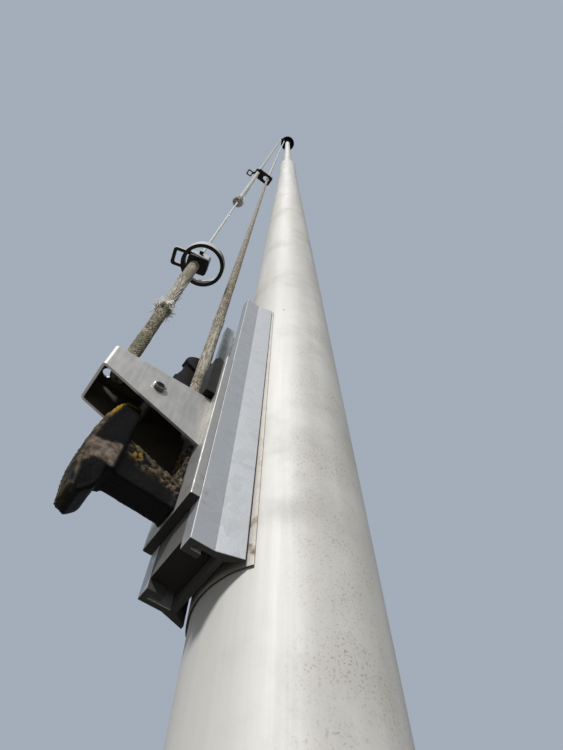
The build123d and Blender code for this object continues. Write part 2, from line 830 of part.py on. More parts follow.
# Stopper knots under the hood's top, clear of the front plate
knot_radius = end_knot_diameter / 2
for knot_name, foot in (("outer_end_knot", outer_foot), ("inner_end_knot", inner_foot)):
    plate_y = -plate_front + rail_lean * hood_root_top
    knot_y = min(foot[0], plate_y - running_clearance - knot_radius)
    with BuildPart() as end_knot:
        with BuildSketch(Plane.XY.offset(foot[1] - kink_gap - end_knot_height)):
            with Locations((0, knot_y)):
                Circle(knot_radius)
        extrude(amount=end_knot_height)
        chamfer(end_knot.edges().filter_by(GeomType.CIRCLE), end_knot_chamfer)
    write(end_knot, knot_name)
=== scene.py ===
# %% [markdown]
# # Flagpole with an outside halyard
# This notebook dresses a flagpole that was drawn as solids first. The solids give every size and place,
# and Blender gives what a camera sees: round metal, braided rope, a weathered casting and worn paint.
# Everything is in metres, with the pole's axis on Z and the ground at z = 0.

# %% Load the frame
import bmesh
import bpy
from math import atan2, cos, hypot, pi, radians, sin
from mathutils import Matrix, Vector
from mathutils.noise import noise
from random import Random


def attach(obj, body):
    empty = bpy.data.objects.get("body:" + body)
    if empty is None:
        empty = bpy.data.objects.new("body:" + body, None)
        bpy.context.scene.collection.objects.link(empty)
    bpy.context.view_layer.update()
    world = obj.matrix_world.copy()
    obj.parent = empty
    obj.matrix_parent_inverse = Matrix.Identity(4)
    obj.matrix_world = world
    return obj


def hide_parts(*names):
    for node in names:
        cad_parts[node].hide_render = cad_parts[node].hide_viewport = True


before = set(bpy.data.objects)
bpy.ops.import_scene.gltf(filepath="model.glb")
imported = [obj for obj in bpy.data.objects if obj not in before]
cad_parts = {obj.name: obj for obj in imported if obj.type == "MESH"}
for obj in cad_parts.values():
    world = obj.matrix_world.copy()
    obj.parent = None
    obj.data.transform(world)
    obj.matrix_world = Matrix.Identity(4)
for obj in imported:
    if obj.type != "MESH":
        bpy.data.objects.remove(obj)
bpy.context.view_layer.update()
mm = 0.001


def new_object(name, data):
    """Put an object with this data in the scene."""
    thing = bpy.data.objects.new(name, data)
    bpy.context.collection.objects.link(thing)
    return thing


def new_mesh(name, bm):
    """Turn a bmesh into a mesh."""
    mesh = bpy.data.meshes.new(name)
    bm.to_mesh(mesh)
    bm.free()
    return mesh


def baked(thing):
    """A bmesh of an object as its modifiers or its curve make it. The object itself goes."""
    made = thing.evaluated_get(bpy.context.evaluated_depsgraph_get())
    bm = bmesh.new()
    bm.from_mesh(bpy.data.meshes.new_from_object(made))
    bpy.data.objects.remove(thing)
    return bm


# %% [markdown]
# ## Camera
# The photograph was taken from beside the foot of the pole, looking steeply up, so everything runs
# together towards the top. The camera stands 0.2 m from the pole's axis at 1.5 m. Its lens is as long as
# its sensor is wide, which gives the same wide view. Its place and turn were fitted to the outline.

# %% Camera
camera_data = bpy.data.cameras.new("photo_camera")
camera_data.sensor_fit = "HORIZONTAL"
camera_data.sensor_width = 36.0
camera_data.lens = 36.0
camera_data.clip_start = 0.01
camera = new_object("photo_camera", camera_data)
camera.location = (0.16015, -0.11980, 1.5)
camera.rotation_euler = (radians(155.0444), radians(-0.5444), radians(53.6304))
bpy.context.scene.camera = camera
bpy.context.scene.view_settings.view_transform = "Standard"
print("camera at", tuple(round(v, 3) for v in camera.location))

# %% [markdown]
# ## Node helpers
# A material is a small graph. Written out node by node it gets long, so one helper adds a node, sets its
# options and fills its inputs with plain values or with other nodes' outputs.

# %% Node helpers
def fill(tree, node, values):
    """Fill a node's inputs with plain values or with other nodes' outputs."""
    for key, value in values.items():
        if isinstance(value, bpy.types.NodeSocket):
            tree.links.new(value, node.inputs[key])
        else:
            node.inputs[key].default_value = value


def put(tree, kind, inputs=None, **options):
    """Add a shader node, set its options and fill its inputs."""
    node = tree.nodes.new("ShaderNode" + kind)
    for name, value in options.items():
        setattr(node, name, value)
    fill(tree, node, inputs or {})
    return node


def calculate(tree, operation, first, second=0.0):
    """A Math node's output."""
    return put(tree, "Math", {0: first, 1: second}, operation=operation).outputs[0]


def plus(tree, *values):
    return calculate(tree, "ADD", *values)


def times(tree, *values):
    return calculate(tree, "MULTIPLY", *values)


def larger(tree, *values):
    return calculate(tree, "MAXIMUM", *values)


def blend(tree, share, first, second):
    """Mix two colours by a share from 0 to 1."""
    return put(tree, "Mix", {0: share, 6: first, 7: second}, data_type="RGBA").outputs[2]


def stain(tree, tone, mask, amount, colour):
    """Lay a colour over a tone where a mask is, by an amount."""
    return blend(tree, times(tree, mask, amount), tone, colour)


def ramp(tree, value, low, high, out_low=0.0, out_high=1.0):
    """Smooth step of a value between two bounds."""
    inputs = {"Value": value, "From Min": low, "From Max": high, "To Min": out_low, "To Max": out_high}
    return put(tree, "MapRange", inputs, interpolation_type="SMOOTHSTEP").outputs[0]


def new_group(name, inputs, outputs):
    """Start a node group: an input without a plain number is a vector. Returns its tree and its ends."""
    tree = bpy.data.node_groups.new(name, "ShaderNodeTree")
    for label, value in inputs.items():
        kind = "NodeSocketFloat" if isinstance(value, float) else "NodeSocketVector"
        socket = tree.interface.new_socket(label, in_out="INPUT", socket_type=kind)
        if value is not None:
            socket.default_value = value
    for label in outputs:
        tree.interface.new_socket(label, in_out="OUTPUT", socket_type="NodeSocketFloat")
    return tree, tree.nodes.new("NodeGroupInput").outputs, tree.nodes.new("NodeGroupOutput").inputs


def use_group(tree, group, **inputs):
    """Place a node group in a material with its own values."""
    return put(tree, "Group", inputs, node_tree=group).outputs


def new_material(name, roughness, metallic=0.0, specular=0.5, softness=0.0):
    """An empty material. Softness lets light about 2 mm into loose fibres. Returns it with its tree and
    its Principled shader."""
    material = bpy.data.materials.new(name)
    material.use_nodes = True
    tree = material.node_tree
    shader = tree.nodes["Principled BSDF"]
    fill(tree, shader, {"Roughness": roughness, "Metallic": metallic, "Specular IOR Level": specular})
    if softness:
        fill(tree, shader, {"Subsurface Weight": softness, "Subsurface Scale": 0.002})
        shader.inputs["Subsurface Radius"].default_value = (1.0, 0.95, 0.85)
    return material, tree, shader


def rgb(red, green, blue):
    return (red, green, blue, 1.0)


def object_place(tree):
    return put(tree, "TexCoord").outputs["Object"]


def mesh_value(tree, name):
    """A value that the mesh stores under a name."""
    return put(tree, "Attribute", attribute_name=name).outputs["Fac"]


def soft_noise(tree, place, scale, detail, roughness=0.5):
    """A Noise Texture's outputs."""
    inputs = {"Vector": place, "Scale": scale, "Detail": detail, "Roughness": roughness}
    return put(tree, "TexNoise", inputs).outputs


def raise_surface(tree, shader, height, distance):
    """Let a height lift the surface's shading by a distance in metres."""
    bump = put(tree, "Bump", {"Height": height, "Distance": distance, "Strength": 1.0})
    fill(tree, shader, {"Normal": bump.outputs[0]})


print("node helpers ready")

# %% [markdown]
# ## Patterns that several finishes share
# Weather leaves the same few marks on everything: runs down the metal, patches of dirt, fine grain
# and specks. A mask of the faces that look one way carries painted sunlight with bleaching on the sun
# side, and painted shade with soil on undersides. Each is one node group, so a finish only says how much
# of each it has. Zinc's crystals and the rope's braid are node groups too.

# %% Streaks, patches and grain
streaks, ins, outs = new_group("streaks", {"Vector": None, "Scale": 60.0, "Stretch": 12.0}, ["Value"])
shrink = calculate(streaks, "DIVIDE", 1.0, ins["Stretch"])
squeeze = put(streaks, "CombineXYZ", {0: 1.0, 1: 1.0, 2: shrink}).outputs[0]
along = put(streaks, "VectorMath", {0: ins["Vector"], 1: squeeze}, operation="MULTIPLY")
streaks.links.new(soft_noise(streaks, along.outputs[0], ins["Scale"], 5.0)[0], outs["Value"])

inputs = {"Vector": None, "Scale": 20.0, "Amount": 0.3, "Edge": 0.1}
patches, ins, outs = new_group("patches", inputs, ["Mask"])
texture = soft_noise(patches, ins["Vector"], ins["Scale"], 8.0, 0.6)[0]
level = ramp(patches, ins["Amount"], 0.0, 1.0, 0.75, 0.25)
low = calculate(patches, "SUBTRACT", level, ins["Edge"])
high = plus(patches, level, ins["Edge"])
patches.links.new(ramp(patches, texture, low, high), outs["Mask"])


def patch_mask(tree, scale, amount, edge):
    """Patches in a material, by their scale, their amount and how soft their edge is."""
    return use_group(tree, patches, Vector=object_place(tree), Scale=scale, Amount=amount, Edge=edge)["Mask"]


grain, ins, outs = new_group("grain", {"Vector": None, "Scale": 900.0}, ["Height"])
grain.links.new(soft_noise(grain, ins["Vector"], ins["Scale"], 3.0)[0], outs["Height"])


def runs_down(tree, scale, stretch):
    """Runs along Z in a material, by their scale and how many times longer than wide they are."""
    return use_group(tree, streaks, Vector=object_place(tree), Scale=scale, Stretch=stretch)["Value"]


def fine_grain(tree, scale):
    return use_group(tree, grain, Vector=object_place(tree), Scale=scale)["Height"]


print("groups:", streaks.name, patches.name, grain.name)

# %% Spangle, specks and a facing mask
spangle, ins, outs = new_group("spangle", {"Vector": None, "Scale": 160.0}, ["Tone", "Frost"])
wander = soft_noise(spangle, ins["Vector"], 90.0, 2.0)["Color"]
drift = put(spangle, "VectorMath", {0: wander, "Scale": 0.006}, operation="SCALE").outputs[0]
moved = put(spangle, "VectorMath", {0: ins["Vector"], 1: drift}, operation="ADD").outputs[0]
cells = put(spangle, "TexVoronoi", {"Vector": moved, "Scale": ins["Scale"]})
split = put(spangle, "SeparateColor", {0: cells.outputs["Color"]})
spangle.links.new(split.outputs[0], outs["Tone"])
spangle.links.new(soft_noise(spangle, moved, 700.0, 4.0)[0], outs["Frost"])

specks, ins, outs = new_group("specks", {"Vector": None, "Scale": 60.0, "Size": 0.12}, ["Mask"])
dots = put(specks, "TexVoronoi", {"Vector": ins["Vector"], "Scale": ins["Scale"]})
pick = put(specks, "SeparateColor", {0: dots.outputs["Color"]})
reach = times(specks, ins["Size"], pick.outputs[0])
inside = calculate(specks, "LESS_THAN", dots.outputs["Distance"], reach)
specks.links.new(inside, outs["Mask"])

# Facing mask: 1 on faces that look towards a direction, by default towards the sun. It carries painted
# sunlight with bleaching on the plastic, and painted shade with soil on the zinc's undersides.
inputs = {"Towards": (0.53, -0.35, 0.77), "Start": 0.3, "Full": 0.8}
facing_mask, ins, outs = new_group("facing_mask", inputs, ["Mask"])
looks = {0: put(facing_mask, "NewGeometry").outputs["Normal"], 1: ins["Towards"]}
facing = put(facing_mask, "VectorMath", looks, operation="DOT_PRODUCT")
facing_mask.links.new(ramp(facing_mask, facing.outputs["Value"], ins["Start"], ins["Full"]), outs["Mask"])
print("groups:", spangle.name, specks.name, facing_mask.name)

# %% Braid
inputs = {"Vector": None, "Strands": 8.0, "Pitch": 0.036}
braid, ins, outs = new_group("braid", inputs, ["Height", "Tone"])
split = put(braid, "SeparateXYZ", {0: ins["Vector"]})
turn = split.outputs[0]
along = calculate(braid, "DIVIDE", split.outputs[1], ins["Pitch"])
right = times(braid, ins["Strands"], plus(braid, turn, along))
left = times(braid, ins["Strands"], calculate(braid, "SUBTRACT", turn, along))
humps = [calculate(braid, "SINE", times(braid, calculate(braid, "FRACT", lay), pi)) for lay in (right, left)]
braid.links.new(calculate(braid, "POWER", times(braid, *humps), 0.6), outs["Height"])
strand = {0: calculate(braid, "FLOOR", right), 1: calculate(braid, "FLOOR", left)}
chance = put(braid, "TexWhiteNoise", {0: put(braid, "CombineXYZ", strand).outputs[0]})
braid.links.new(chance.outputs["Value"], outs["Tone"])
print("group:", braid.name)

# %% [markdown]
# ## Aluminium of the pole
# The pole is drawn tube with a satin anodised skin. Close up it shows faint runs down its length, some
# grey smudges and a few dark specks. One flank is darkened with painted shade and dust clouds with fine
# specks. Its roughness changes with the runs more than its colour does.

# %% Pole finish
pole_finish, tree, shader = new_material("pole_aluminium", 0.62, metallic=0.12, specular=0.25)
runs = runs_down(tree, 55.0, 16.0)
fine_runs = runs_down(tree, 420.0, 40.0)
smudges = patch_mask(tree, 14.0, 0.34, 0.12)
dark_specks = use_group(tree, specks, Vector=object_place(tree), Scale=30.0, Size=0.04)["Mask"]
tone = blend(tree, ramp(tree, runs, 0.35, 0.68), rgb(0.72, 0.695, 0.645), rgb(0.8, 0.78, 0.735))
tone = stain(tree, tone, smudges, 0.3, rgb(0.36, 0.35, 0.32))
tone = stain(tree, tone, dark_specks, 0.7, rgb(0.16, 0.14, 0.11))
# One flank, turned from the sun, is darkened: painted shade, with dust clouds and fine specks.
side = put(tree, "SeparateXYZ", {0: object_place(tree)}).outputs["X"]
dust_patches = patch_mask(tree, 26.0, 0.5, 0.15)
fine_specks = patch_mask(tree, 900.0, 0.36, 0.08)
dust_and_shade = times(tree, ramp(tree, side, 0.028, 0.043), plus(tree, times(tree, dust_patches, 0.75), 0.12))
tone = stain(tree, tone, dust_and_shade, 0.25, rgb(0.42, 0.37, 0.3))
tone = stain(tree, tone, dust_and_shade, fine_specks, rgb(0.32, 0.29, 0.24))
satin = plus(tree, ramp(tree, fine_runs, 0.3, 0.7, 0.58, 0.64), times(tree, smudges, 0.1))
fill(tree, shader, {"Base Color": tone, "Roughness": satin})
raise_surface(tree, shader, fine_runs, 0.00006)
print("finish:", pole_finish.name)

# %% [markdown]
# ## Galvanised steel of the rail
# Hot zinc freezes in flat crystals, called spangle. Each crystal is a cell of a Voronoi pattern with its
# own grey and roughness. White bloom and a little rust come from the shared patches. The undersides,
# and the faces that the mesh marks with its grime and shade value, go dark: painted shade with soil.

# %% Galvanised finish
def galvanised(name, bright, dull, rust):
    """Zinc with spangle between two greys, and rust by an amount."""
    material, tree, shader = new_material(name, 0.45, metallic=0.85, specular=0.2)
    zinc = use_group(tree, spangle, Vector=object_place(tree), Scale=150.0)
    bloom = patch_mask(tree, 38.0, 0.3, 0.1)
    brown = patch_mask(tree, 75.0, rust, 0.05)
    runs = runs_down(tree, 120.0, 14.0)
    cell = plus(tree, times(tree, zinc["Tone"], 0.6), times(tree, zinc["Frost"], 0.4))
    tone = blend(tree, cell, dull, bright)
    tone = blend(tree, ramp(tree, runs, 0.5, 0.75, 0.0, 0.35), tone, rgb(0.5, 0.51, 0.52))
    tone = stain(tree, tone, bloom, 0.35, rgb(0.56, 0.57, 0.58))
    tone = stain(tree, tone, brown, 0.75, rgb(0.2, 0.12, 0.06))
    # Undersides and the faces that the mesh marks go near black and dark brown: painted shade with soil. They
    # also turn rough and dull, so that no reflection lightens them.
    under = use_group(tree, facing_mask, Towards=(0.0, 0.0, -1.0), Start=0.4, Full=0.9)["Mask"]
    grime_and_shade = mesh_value(tree, "grime_and_shade")
    soiled_and_shaded = larger(tree, times(tree, under, 0.93), grime_and_shade)
    soil_and_shade = blend(tree, brown, rgb(0.02, 0.017, 0.014), rgb(0.1, 0.06, 0.03))
    tone = blend(tree, soiled_and_shaded, tone, soil_and_shade)
    crusted_and_shaded = larger(tree, brown, soiled_and_shaded)
    satin = larger(tree, ramp(tree, cell, 0.2, 0.8, 0.62, 0.5), times(tree, crusted_and_shaded, 0.85))
    metal = ramp(tree, crusted_and_shaded, 0.0, 1.0, 0.75, 0.0)
    fill(tree, shader, {"Base Color": tone, "Roughness": satin, "Metallic": metal})
    raise_surface(tree, shader, zinc["Frost"], 0.00005)
    return material


rail_finish = galvanised("rail_zinc", rgb(0.62, 0.62, 0.615), rgb(0.42, 0.425, 0.425), 0.16)
plate_finish = galvanised("plate_zinc", rgb(0.52, 0.505, 0.47), rgb(0.37, 0.36, 0.335), 0.24)
strip_finish = galvanised("strip_zinc", rgb(0.6, 0.56, 0.5), rgb(0.42, 0.38, 0.33), 0.3)
print("finishes:", rail_finish.name, plate_finish.name, strip_finish.name)

# %% [markdown]
# ## Stainless steel of the hood
# The hood is folded from thin stainless sheet that has gone dull. Its outside is an even warm grey with
# fine mottling. Its inside is painted near black as shade, with stains, and a dark brown line of painted
# shade and dirt runs along the lower edges.

# %% Hood finish
def sheet_steel(name, bright, dull, roughness):
    """Dull stainless sheet, with painted shade and dirt where the mesh's grime attribute says so."""
    material, tree, shader = new_material(name, roughness, metallic=0.8)
    mottle = patch_mask(tree, 130.0, 0.5, 0.25)
    brushed = runs_down(tree, 500.0, 9.0)
    grime_and_shade = mesh_value(tree, "grime_and_shade")
    blotches = patch_mask(tree, 85.0, 0.5, 0.22)
    tone = blend(tree, mottle, dull, bright)
    # Where the mesh marks it the sheet goes near black: painted shade inside the hood and on the pin heads,
    # and painted shade with dirt along the lower edges.
    dirt_and_shade = blend(tree, blotches, rgb(0.016, 0.0135, 0.009), rgb(0.06, 0.048, 0.024))
    tone = blend(tree, grime_and_shade, tone, dirt_and_shade)
    sheen = ramp(tree, brushed, 0.3, 0.7, roughness - 0.06, roughness + 0.06)
    matt = plus(tree, sheen, times(tree, grime_and_shade, 0.3))
    metal = ramp(tree, grime_and_shade, 0.0, 1.0, 0.8, 0.1)
    fill(tree, shader, {"Base Color": tone, "Roughness": matt, "Metallic": metal})
    raise_surface(tree, shader, brushed, 0.00004)
    return material


hood_finish = sheet_steel("hood_steel", rgb(0.56, 0.53, 0.49), rgb(0.47, 0.445, 0.41), 0.55)
bolt_finish = sheet_steel("bolt_steel", rgb(0.74, 0.73, 0.71), rgb(0.6, 0.59, 0.57), 0.3)
print("finishes:", hood_finish.name, bolt_finish.name)

# %% [markdown]
# ## Painted casting of the cleat
# The cleat is cast and painted black. Rope and hands have worn its middle to a pinkish grey. Moss and
# yellow lichen grow along its upper edges, where water stays. The mesh says where they grow with its
# own attributes, so that the crust's colour and its raised shape agree.

# %% Cleat finish
cleat_finish, tree, shader = new_material("cleat_casting", 0.6, metallic=0.0, specular=0.06)
rough_cast = fine_grain(tree, 600.0)
dust = patch_mask(tree, 70.0, 0.36, 0.16)
wear = mesh_value(tree, "wear")
crust = mesh_value(tree, "crust")
gold = mesh_value(tree, "gold")
paint = blend(tree, times(tree, dust, 0.5), rgb(0.004, 0.0036, 0.0034), rgb(0.016, 0.012, 0.009))
rubbed = patch_mask(tree, 190.0, 0.5, 0.16)
bare = blend(tree, rubbed, rgb(0.3, 0.24, 0.195), rgb(0.085, 0.062, 0.048))
tone = blend(tree, wear, paint, bare)
moss_mix = patch_mask(tree, 420.0, 0.5, 0.2)
moss = blend(tree, moss_mix, rgb(0.03, 0.022, 0.014), rgb(0.23, 0.185, 0.12))
lichen = blend(tree, moss_mix, rgb(0.3, 0.17, 0.02), rgb(0.52, 0.33, 0.05))
tone = blend(tree, crust, tone, blend(tree, gold, moss, lichen))
matt = plus(tree, 0.52, times(tree, larger(tree, crust, wear), 0.4))
fill(tree, shader, {"Base Color": tone, "Roughness": matt})
raise_surface(tree, shader, plus(tree, rough_cast, times(tree, moss_mix, crust)), 0.0003)
print("finish:", cleat_finish.name)

# %% [markdown]
# ## Black plastic
# The hooks, the rope guide and the cap are black plastic. The faces that look towards the sun are
# painted paler: painted sunlight with bleaching. Fine mould grain keeps them from shining like glass.

# %% Plastic finish
def plastic(name, colour, roughness, sunlit_faded, sunlit_fade, start=0.3, full=0.8):
    """Moulded black plastic, painted a second colour where the sun falls: painted sunlight with bleaching."""
    material, tree, shader = new_material(name, roughness, specular=0.15)
    mould = fine_grain(tree, 1400.0)
    dust = patch_mask(tree, 120.0, 0.4, 0.2)
    # Faces that look towards the sun get the paler colour: painted sunlight, with some bleaching.
    sunny = use_group(tree, facing_mask, Start=start, Full=full)["Mask"]
    tone = blend(tree, times(tree, dust, 0.35), colour, rgb(0.085, 0.07, 0.05))
    tone = stain(tree, tone, sunny, sunlit_fade, sunlit_faded)
    matt = ramp(tree, dust, 0.0, 1.0, roughness, roughness + 0.15)
    fill(tree, shader, {"Base Color": tone, "Roughness": matt})
    raise_surface(tree, shader, mould, 0.00008)
    return material


# The hooks' sun side goes almost white: mostly painted sunlight.
hook_finish = plastic("hook_plastic", rgb(0.006, 0.006, 0.006), 0.4, rgb(0.76, 0.76, 0.74), 0.92, 0.2, 0.5)
guide_finish = plastic("guide_plastic", rgb(0.008, 0.007, 0.006), 0.45, rgb(0.05, 0.043, 0.035), 0.5)
cap_finish = plastic("cap_plastic", rgb(0.01, 0.01, 0.011), 0.5, rgb(0.12, 0.12, 0.12), 0.5)
print("finishes:", hook_finish.name, guide_finish.name, cap_finish.name)

# %% [markdown]
# ## Rope
# The halyard is braided rope that has hung outside for years: beige where it is dry, green and brown
# where moss has settled, with painted shade in the gaps between the strands. The pattern follows the
# rope through its UV map, where u is the turn round the rope and v is the length along it in metres.

# %% Rope finish
def rope_finish(name, clean, worn, moss, amount, strands, pitch, depth, softness=0.0):
    """Weathered braid: two fibre colours, moss that settles in patches by an amount, and painted shade in the
    gaps between the strands.
    """
    material, tree, shader = new_material(name, 0.9, specular=0.15, softness=softness)
    lay = put(tree, "UVMap", uv_map="along").outputs[0]
    plait = use_group(tree, braid, Vector=lay, Strands=strands, Pitch=pitch)
    grown = patch_mask(tree, 55.0, amount, 0.12)
    flecks = patch_mask(tree, 520.0, 0.45, 0.12)
    tone = blend(tree, ramp(tree, plait["Tone"], 0.1, 0.75), worn, clean)
    tone = stain(tree, tone, flecks, 0.5, worn)
    tone = stain(tree, tone, grown, 0.75, moss)
    # The gaps between the strands are painted darker: painted shade.
    gap_shade = ramp(tree, plait["Height"], 0.1, 0.55, 0.75, 0.0)
    tone = blend(tree, gap_shade, tone, rgb(worn[0] * 0.3, worn[1] * 0.28, worn[2] * 0.28))
    bare = mesh_value(tree, "bare")
    yarns = runs_down(tree, 900.0, 9.0)
    pale = blend(tree, ramp(tree, yarns, 0.4, 0.6), rgb(0.3, 0.26, 0.19), rgb(0.74, 0.7, 0.6))
    tone = stain(tree, tone, bare, 0.85, pale)
    fill(tree, shader, {"Base Color": tone})
    fibres = fine_grain(tree, 2600.0)
    relief = plus(tree, plait["Height"], times(tree, fibres, 0.4))
    raise_surface(tree, shader, relief, depth)
    return material


strands, pitch, cord_strands, cord_pitch = 16, 0.05, 4, 0.012
line_finish = rope_finish(
    "line_rope", rgb(0.63, 0.59, 0.48), rgb(0.26, 0.21, 0.15), rgb(0.21, 0.2, 0.13), 0.4,
    strands, pitch, 0.00025,
)
worn_finish = rope_finish(
    "worn_rope", rgb(0.64, 0.6, 0.47), rgb(0.17, 0.13, 0.09), rgb(0.23, 0.225, 0.14), 0.45,
    strands, pitch, 0.00025,
)
pale_finish = rope_finish(
    "pale_rope", rgb(0.82, 0.81, 0.78), rgb(0.6, 0.57, 0.5), rgb(0.56, 0.54, 0.46), 0.15,
    8, pitch, 0.0002, softness=0.8,
)
cord_finish = rope_finish(
    "cord_braid", rgb(0.92, 0.91, 0.88), rgb(0.78, 0.77, 0.73), rgb(0.6, 0.58, 0.5), 0.1,
    cord_strands, cord_pitch, 0.0002, softness=0.8,
)
fray_finish, tree, shader = new_material("frayed_fibre", 0.9, specular=0.15, softness=1.0)
fibre_mix = patch_mask(tree, 240.0, 0.5, 0.2)
fibre_tone = blend(tree, fibre_mix, rgb(0.93, 0.91, 0.86), rgb(0.72, 0.68, 0.58))
fill(tree, shader, {"Base Color": fibre_tone})
print("finishes:", line_finish.name, worn_finish.name, pale_finish.name, cord_finish.name, fray_finish.name)

# %% [markdown]
# ## From a bmesh to a finished piece
# Every new piece ends the same way: its bmesh becomes an object at the origin, gets its finish, rides
# on the pole, and hides the solids it stands for. Smooth shading with sharp edges where faces meet at
# more than 30 degrees keeps round things round and flat things flat.

# %% Finish a piece
def finish_piece(bm, name, finish, stands_for=(), sharp=30.0, flat_sides=False):
    """Turn a bmesh into a piece that rides on the pole."""
    for face in bm.faces:
        face.smooth = True
    for edge in bm.edges:
        edge.smooth = len(edge.link_faces) != 2 or edge.calc_face_angle() < radians(sharp)
    mesh = new_mesh(name, bm)
    mesh.materials.append(finish)
    piece = new_object(name, mesh)
    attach(piece, "root")
    if stands_for:
        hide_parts(*stands_for)
    if flat_sides:
        piece.modifiers.new("flat_sides", "WEIGHTED_NORMAL").keep_sharp = True
    print("piece:", name, "with", len(mesh.polygons), "faces")


# %% [markdown]
# ## Turned pieces
# Tubes, the shoulder and the cap are round about the pole's axis. Half of their outline is spun in
# 128 steps, which leaves no facets to see even close to the camera.

# %% Spin an outline
def turned(outline, name, stands_for, finish=pole_finish):
    """Spin a closed outline of (radius, height) in millimetres about the pole's axis."""
    bm = bmesh.new()
    corners = [bm.verts.new((radius * mm, 0, height * mm)) for radius, height in outline]
    edges = [bm.edges.new(pair) for pair in zip(corners, corners[1:] + corners[:1])]
    bmesh.ops.spin(
        bm, geom=corners + edges, axis=(0, 0, 1), angle=2 * pi, steps=128, use_merge=True,
    )
    bmesh.ops.remove_doubles(bm, verts=bm.verts, dist=0.00001)
    bmesh.ops.recalc_face_normals(bm, faces=bm.faces)
    finish_piece(bm, name, finish, stands_for)


# %% Pole
foot_z, joint_z, shoulder_z, wall, rim_round = 15, 3340, 4050, 3.0, 0.6


def pole_radius(z):
    """The lower tube's outer radius at a height. It tapers evenly."""
    return 53.3 - 0.0066 * z


rise = [foot_z + (joint_z - foot_z) * step / 12 for step in range(13)]
outside = [(pole_radius(z), z) for z in rise]
end_radius = pole_radius(joint_z)
outside[-1:] = [(end_radius, joint_z - rim_round), (end_radius - rim_round, joint_z)]
turned(
    [(pole_radius(foot_z) - wall, foot_z)] + outside + [(end_radius - wall, joint_z)],
    "pole_lower_tube", ["pole_lower"],
)
turned(
    [(27.3, joint_z), (30.3, joint_z), (30.3, 3930), (30.15, 3940), (29.5, 3950), (22.6, 4041), (21.4, 4049),
     (20.8, shoulder_z), (18.15, shoulder_z), (27.3, 3940)],
    "pole_upper_tube", ["pole_upper"],
)
turned(
    [(16, 3990), (18, 3990), (18, shoulder_z), (15, 5915), (13, 5915), (16, shoulder_z)],
    "top_tube_shell", ["top_tube"],
)
turned(
    [(30.45, joint_z), (31.65, joint_z), (31.65, 3361.2), (31.4, 3361.7), (30.9, 3362), (30.45, 3362)],
    "joint_sleeve", ["joint_band"],
)

# %% [markdown]
# ## Cap at the top
# A mushroom cap keeps rain out of the pole. Its dome is a quarter of an ellipse, spun, with a small
# round at the rim.

# %% Cap
cap_radius, brim_z, dome_rise = 47.5, 5904, 36
dome = [(cap_radius * cos(radians(a)), brim_z + dome_rise * sin(radians(a))) for a in range(0, 90, 6)]
rim = [(44.2, 5890), (46.6, 5890), (47.2, 5890.3), (cap_radius, 5891)]
turned(
    [(0.01, 5930), (24.4, 5930), (43.5, brim_z), (43.5, 5890.7)] + rim + dome + [(0.01, brim_z + dome_rise)],
    "cap_dome", ["truck_cap"], cap_finish,
)

# %% [markdown]
# ## Solids with softened edges
# Folded, moulded and machined pieces already have the right shape, but their edges are razor sharp.
# Real edges are a little round and catch a line of light. A solid's mesh is copied, its loose triangles
# are merged into clean faces, and each sharp edge gets a small bevel.

# %% Soften a solid's edges
def solid_copy(node):
    """A bmesh of a solid, with its triangles joined at their corners."""
    bm = bmesh.new()
    bm.from_mesh(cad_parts[node].data)
    bmesh.ops.remove_doubles(bm, verts=bm.verts, dist=0.00001)
    return bm


def edged_copy(node, width):
    """A bmesh of a solid with its sharp edges bevelled by a width in millimetres."""
    bm = solid_copy(node)
    bmesh.ops.dissolve_limit(bm, angle_limit=radians(0.5), verts=bm.verts, edges=bm.edges)
    edges = [e for e in bm.edges if len(e.link_faces) == 2 and e.calc_face_angle() > radians(28)]
    bmesh.ops.bevel(
        bm, geom=edges, offset=width * mm, affect="EDGES", segments=2,
        profile=0.5, material=-1, clamp_overlap=True, loop_slide=True,
    )
    bmesh.ops.triangulate(bm, faces=[f for f in bm.faces if len(f.verts) > 4])
    return bm


def cut(bm, place, normal):
    """Cut the faces along a plane, so that a value can change there."""
    everything = list(bm.verts) + list(bm.edges) + list(bm.faces)
    bmesh.ops.bisect_plane(bm, geom=everything, plane_co=place, plane_no=normal)


# %% [markdown]
# ## Painted shade and dirt on the metal
# The galvanised pieces and the hood are darkened inside, behind and underneath with painted shade and
# dirt. Each face stores a value from 0 to 1, which its finish turns into a dark soil colour.

# %% Grime and painted shade values
rail_z, rail_lean = 1.668, 0.0105
channel_half, channel_middle, lip_half = 17.0, 56.0, 19.0


def rail_place(point):
    """Distance out from the pole's axis and height up the rail, in millimetres, at a point in metres."""
    height = (point.z - rail_z) / mm
    return -point.y / mm + rail_lean * height, height


def ease(value, low, high):
    """Smooth step from 0 to 1 between two bounds."""
    share = min(max((value - low) / (high - low), 0.0), 1.0)
    return share * share * (3 - 2 * share)


def fade_out(value, low, high):
    return 1 - ease(value, low, high)


def add_grime_and_shade(bm, grime_and_shade_of):
    """Store how much dirt and painted shade each face gets, from 0 to 1."""
    layer = bm.faces.layers.float.new("grime_and_shade")
    for face in bm.faces:
        face[layer] = grime_and_shade_of(face)


def plate_grime_and_shade(face):
    """The plate's back and its lower edge get painted shade and dirt."""
    return 0.95 if face.normal.y > 0.5 or face.normal.z < -0.5 else 0.0


def bar_grime_and_shade(face):
    """The bar, down in the slot, gets painted shade and dirt all over, most of all at its lower end."""
    out, height = rail_place(face.calc_center_median())
    return 1.0 if height < 60.0 or face.normal.z < -0.5 else 0.7


